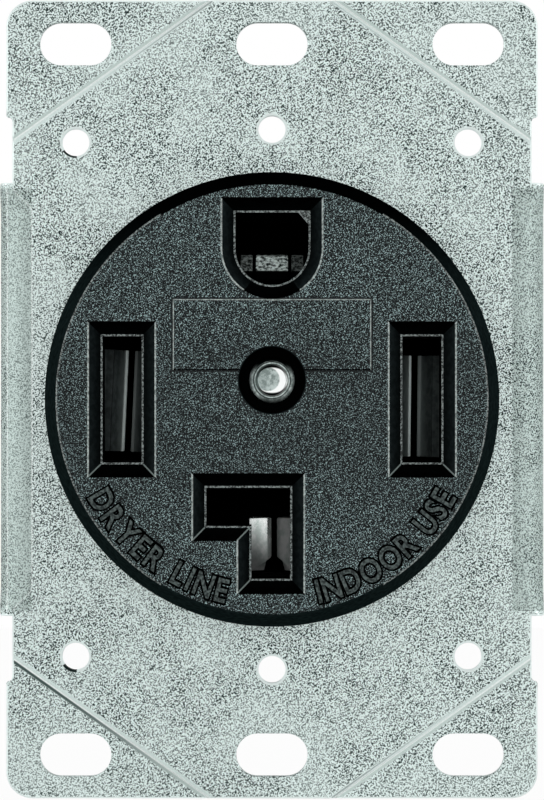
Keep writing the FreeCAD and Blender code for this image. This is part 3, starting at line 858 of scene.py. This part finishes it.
coverForm = {
    "faceY": -7.3,
    "panelY": -7.45,
    "ledgeY": -5.7,
    "rimRadius": 24.8,
    "edgeWidth": 0.12,
    "corner": 20,
    "panelShare": 1.1,
    "ledgeShare": 0.2,
    # the bevel of the earth hole comes close to the panel there
    "closeX": 3.5,
    "closeZ": (11.5, 12.6),
    "closeShare": 0.4,
    "recessReach": 4.4,
    "flatTilt": 8,
    "rimTilt": 0.6,
    "panelTopTilt": 0.2,
    "mergeTilt": 0.3,
}


def coverShare(ends, first, second):
    # how much of the edge width each edge of the cover gets
    if cornerOf(first, second) < coverForm["corner"]:
        return 0.0
    levels = [end.y for end in ends]

    def allAt(depth):
        return all(abs(level - depth) < 0.01 for level in levels)

    if allAt(coverForm["panelY"]):
        return coverForm["panelShare"]
    if allAt(coverForm["ledgeY"]):
        return coverForm["ledgeShare"]
    if allAt(coverForm["faceY"]) and all(math.hypot(end.x, end.z) < coverForm["rimRadius"] for end in ends):
        low, high = coverForm["closeZ"]
        close = all(abs(end.x) < coverForm["closeX"] and low < end.z < high for end in ends)
        return coverForm["closeShare"] if close else 1.0
    return 0.0


def sideways(normal):
    return abs(normal.x) > 0.6 * abs(normal.z)


def faceLook(face):
    # finish of a face of the cover before its edges are rounded
    depth = face.center.y / mm
    facing = -face.normal.y > math.cos(math.radians(coverForm["flatTilt"]))
    if facing and depth < coverForm["faceY"] + 0.05:
        return "face"
    if facing and abs(depth - coverForm["ledgeY"]) < 0.02:
        return "ledge"
    if math.hypot(face.center.x, face.center.z) / mm > coverForm["rimRadius"]:
        # rim faces turned to the left or right and to the front take the lighter ledge grain, a painted
        # highlight
        onEdge = -face.normal.y > coverForm["rimTilt"]
        return "ledge" if onEdge and sideways(face.normal) else "rim"
    # sideways walls take the lighter flank finish as painted light, the others the dark one
    return "flank" if sideways(face.normal) else "dark"


def edgeLook(face, levels):
    # finish of a rounded edge of the cover
    offX, offZ = face.center.x / mm - rivetMiddle[0], face.center.z / mm - rivetMiddle[1]
    if math.hypot(offX, offZ) < coverForm["recessReach"]:
        return "flank"
    if max(levels) - min(levels) < 0.01 and -face.normal.y > 0:
        return "face"
    onPanel = face.center.y / mm < coverForm["faceY"] - 0.02
    onPanelTop = onPanel and face.normal.z > coverForm["panelTopTilt"]
    # edges facing left or right and the panel's top edges are painted pale as highlights
    return "rubbed" if sideways(face.normal) or onPanelTop else "dark"


def makeCover():
    cover = copyNode("face_cover", "coverMoulding")
    # flat faces in one piece, so that no thin triangles meet the rounded edges
    editMode(True)
    bpy.ops.mesh.select_all(action="SELECT")
    bpy.ops.mesh.dissolve_limited(angle_limit=math.radians(coverForm["mergeTilt"]))
    editMode(False)
    dress(cover, coverFinishes)
    for face in cover.data.polygons:
        face.material_index = onCover[faceLook(face)]
    softenEdges(cover, coverForm["edgeWidth"], coverShare, 2, onCover["rubbed"])
    for face in cover.data.polygons:
        if face.material_index == onCover["rubbed"]:
            levels = [cover.data.vertices[index].co.y / mm for index in face.vertices]
            face.material_index = onCover[edgeLook(face, levels)]
    settle(cover, "cover_plastic", "face_cover")


makeCover()
print("cover done")


# raised words along the lower edge of the face, plain ones

lettering = {
    "words": (("DRYER LINE", -1), ("INDOOR USE", 1)),
    "fromDown": (13.0, 62.0),
    "baseline": 24.2,
    "capHeight": 2.65,
    "capShare": 0.682,
    "narrow": 0.8,
    "space": 0.9,
    # growth of the outline, rounding and straight height of the letters and of the flat dark sheet around them,
    # painted shade at their edges
    "raised": (0.06, 0.05, 0.09),
    "hollow": (0.29, 0.03, 0.001),
}


def makeLetter(sign, kind):
    # one flat letter standing on its own baseline, as a mesh
    growth, rounding, height = lettering[kind]
    dropAll()
    bpy.ops.object.text_add()
    letter = bpy.context.object
    letter.name = kind + "Letter"
    letter.data.body = sign
    letter.data.size = lettering["capHeight"] / lettering["capShare"] * mm
    letter.data.resolution_u = 4
    letter.data.extrude = height * mm
    letter.data.bevel_depth = rounding * mm
    letter.data.bevel_resolution = 0
    letter.data.offset = growth * mm
    bpy.ops.object.convert(target="MESH")
    letter = bpy.context.object
    letter.data.transform(Matrix.Diagonal((lettering["narrow"], 1, 1, 1)))
    return letter


def makeLettering():
    letters = []
    low, high = (math.radians(angle) for angle in lettering["fromDown"])
    middle = (lettering["baseline"] - lettering["capHeight"] / 2) * mm
    foot = lettering["baseline"] * mm
    for words, side in lettering["words"]:
        row = [[makeLetter(sign, kind) for kind in ("raised", "hollow") if sign != " "] for sign in words]
        widths = []
        for pair in row:
            across = [vertex.co.x for vertex in pair[0].data.vertices] if pair else [0, lettering["space"] * mm]
            widths.append((min(across), max(across)))
        free = (high - low) * middle - sum(right - left for left, right in widths)
        gap = free / (len(row) - 1)
        along = (low if side > 0 else -high) * middle
        for pair, (left, right) in zip(row, widths):
            angle = (along + (right - left) / 2) / middle
            sine, cosine = math.sin(angle), math.cos(angle)
            place = Matrix((
                (cosine, -sine, 0, foot * sine),
                (0, 0, -1, coverForm["faceY"] * mm),
                (sine, cosine, 0, -foot * cosine),
                (0, 0, 0, 1),
            ))
            for letter in pair:
                letter.data.transform(place @ Matrix.Translation((-(left + right) / 2, 0, 0)))
            letters += pair
            along += right - left + gap
    dropAll()
    for letter in letters:
        letter.select_set(True)
    bpy.context.view_layer.objects.active = letters[0]
    bpy.ops.object.join()
    piece = bpy.context.object
    piece.name = "faceWords"
    editMode(True)
    bpy.ops.mesh.select_all(action="SELECT")
    bpy.ops.mesh.remove_doubles(threshold=meshCare["mergeReach"] * mm)
    bpy.ops.mesh.normals_make_consistent(inside=False)
    editMode(False)
    piece.data.materials.clear()
    dress(piece, coverFinishes)
    for face in piece.data.polygons:
        # sides of the letters and the outline sheet take the dark finish, painted shade round the letters
        onTop = -face.normal.y > 0.9 and face.center.y / mm < coverForm["faceY"] - 0.1
        face.material_index = onCover["letter" if onTop else "dark"]
    settle(piece, "cover_plastic")


makeLettering()
print("words done")


# rear body

bodyForm = {"edgeWidth": 0.2, "corner": 50}


def makeBody():
    body = copyNode("rear_body", "bodyMoulding")
    body.data.materials.append(bodyMoulding)
    softenEdges(body, bodyForm["edgeWidth"], sharperThan(bodyForm["corner"]))
    settle(body, "body_plastic", "rear_body")


makeBody()
print("body done")


# centre rivet: rolled bead with a dished cup at the front, round head at the rear

rivetForm = {
    "head": ((0.4, 26.3), (3.2, 26.3), (3.55, 26.22), (3.85, 26.0), (4.0, 25.6), (4.0, 24.5)),
    "shank": ((2.0, 24.5), (2.0, -4.7)),
    "flange": ((2.64, -4.7), (2.7, -4.8), (2.7, -5.3), (2.66, -5.42), (2.56, -5.48), (2.2, -5.58)),
    "bead": ((2.14, -5.66), (2.11, -5.86), (2.08, -5.9), (1.94, -5.9), (1.9, -5.86), (1.84, -5.74)),
    "cup": ((1.77, -5.4), (1.72, -5.14), (1.62, -5.0), (1.3, -4.93), (0.7, -4.9), (0.03, -4.9)),
}


def makeRivet():
    profile = [point for stretch in rivetForm.values() for point in stretch]
    rivet = turnedPiece("centreRivet", profile, rivetMiddle)
    rivet.data.materials.append(metalFinishes["rivet_steel"])
    settle(rivet, "rivet_steel", "centre_rivet")


makeRivet()
print("rivet done")


# other metal pieces: CAD forms with softened edges

metalForm = {"edgeWidth": 0.1, "corner": 50}


def makeMetal():
    slots = {part["node"]: part["material_slot"] for part in frame["record"]["subparts"]}
    for nodeName in sorted(nodes):
        if slots[nodeName] not in metals or nodeName == "centre_rivet":
            continue
        words = nodeName.split("_")
        piece = copyNode(nodeName, words[0] + "".join(word.capitalize() for word in words[1:]))
        piece.data.materials.append(contactFinishes.get(nodeName, metalFinishes[slots[nodeName]]))
        softenEdges(piece, metalForm["edgeWidth"], sharperThan(metalForm["corner"]))
        settle(piece, slots[nodeName], nodeName)


makeMetal()
print("metal pieces done")


# stage: white world, pale floor, soft boxes left and right, wide fill at the camera

studio = {
    "fillLevel": 0.3,
    "floorDrop": 0.6,
    "floorHalf": 400.0,
    "floorPaint": (0.9, 0.9, 0.9, 1),
    "floorShow": 0.97,
    "white": (1, 1, 1, 1),
    "camera": {"distance": 520.0, "lens": 199.6, "aimX": 0.0, "aimZ": -0.07},
    "lamps": {
        # name: angle to the right of the camera, height angle, distance, width, height, watts
        "leftBox": (-68, 0, 480, 160, 420, 0.5),
        "rightBox": (68, 0, 480, 160, 420, 0.5),
        "frontBox": (0, 14, 700, 420, 420, 1.2),
    },
}


def seenDirectly(nodeTree):
    # 1 for camera, glossy and transmission rays
    path = nodeTree.nodes.new("ShaderNodeLightPath")
    total = path.outputs["Is Camera Ray"]
    for ray in ("Is Glossy Ray", "Is Transmission Ray"):
        most = nodeTree.nodes.new("ShaderNodeMath")
        most.operation = "MAXIMUM"
        nodeTree.links.new(total, most.inputs[0])
        nodeTree.links.new(path.outputs[ray], most.inputs[1])
        total = most.outputs[0]
    return total


def makeWorld():
    world = bpy.data.worlds.new("whiteStudio")
    bpy.context.scene.world = world
    world.use_nodes = True
    tree = world.node_tree
    tree.nodes.clear()
    fill = tree.nodes.new("ShaderNodeBackground")
    fill.inputs["Strength"].default_value = studio["fillLevel"]
    white = tree.nodes.new("ShaderNodeBackground")
    white.inputs["Strength"].default_value = 1
    for background in (fill, white):
        background.inputs["Color"].default_value = studio["white"]
    choose = tree.nodes.new("ShaderNodeMixShader")
    end = tree.nodes.new("ShaderNodeOutputWorld")
    tree.links.new(seenDirectly(tree), choose.inputs[0])
    tree.links.new(fill.outputs[0], choose.inputs[1])
    tree.links.new(white.outputs[0], choose.inputs[2])
    tree.links.new(choose.outputs[0], end.inputs["Surface"])


def makeFloor():
    material = bpy.data.materials.new("paleFloor")
    material.use_nodes = True
    tree = material.node_tree
    tree.nodes.clear()
    paint = tree.nodes.new("ShaderNodeBsdfDiffuse")
    paint.inputs["Color"].default_value = studio["floorPaint"]
    glow = tree.nodes.new("ShaderNodeEmission")
    glow.inputs["Color"].default_value = studio["white"]
    glow.inputs["Strength"].default_value = 1
    show = tree.nodes.new("ShaderNodeMath")
    show.operation = "MULTIPLY"
    show.inputs[1].default_value = studio["floorShow"]
    choose = tree.nodes.new("ShaderNodeMixShader")
    end = tree.nodes.new("ShaderNodeOutputMaterial")
    tree.links.new(seenDirectly(tree), show.inputs[0])
    tree.links.new(show.outputs[0], choose.inputs[0])
    tree.links.new(paint.outputs[0], choose.inputs[1])
    tree.links.new(glow.outputs[0], choose.inputs[2])
    tree.links.new(choose.outputs[0], end.inputs["Surface"])
    dropAll()
    height = cadLow.z - studio["floorDrop"] * mm
    bpy.ops.mesh.primitive_plane_add(size=2 * studio["floorHalf"] * mm, location=(0, 0, height))
    floor = bpy.context.object
    floor.name = "paleFloor"
    floor.data.materials.append(material)


def makeLamps():
    middle = (cadLow + cadHigh) / 2
    for name, (angle, rise, distance, width, height, watts) in studio["lamps"].items():
        aside, up = math.radians(angle), math.radians(rise)
        way = Vector((math.sin(aside) * math.cos(up), -math.cos(aside) * math.cos(up), math.sin(up)))
        data = bpy.data.lights.new(name, "AREA")
        data.shape = "RECTANGLE"
        data.size = width * mm
        data.size_y = height * mm
        data.energy = watts
        lamp = bpy.data.objects.new(name, data)
        bpy.context.scene.collection.objects.link(lamp)
        lamp.location = middle + way * distance * mm
        lamp.rotation_euler = way.to_track_quat("Z", "Y").to_euler()
        lamp.visible_camera = False
        lamp.visible_glossy = name != "frontBox"


def makeCamera():
    setup = studio["camera"]
    data = bpy.data.cameras.new("frontCamera")
    data.lens = setup["lens"]
    camera = bpy.data.objects.new("frontCamera", data)
    bpy.context.scene.collection.objects.link(camera)
    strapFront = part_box("mounting_strap")[0].y
    camera.location = (setup["aimX"] * mm, strapFront - setup["distance"] * mm, setup["aimZ"] * mm)
    camera.rotation_euler = (math.radians(90), 0, 0)
    bpy.context.scene.camera = camera


makeWorld()
makeFloor()
makeLamps()
makeCamera()
bpy.context.scene.view_settings.view_transform = "Standard"
print("studio done")
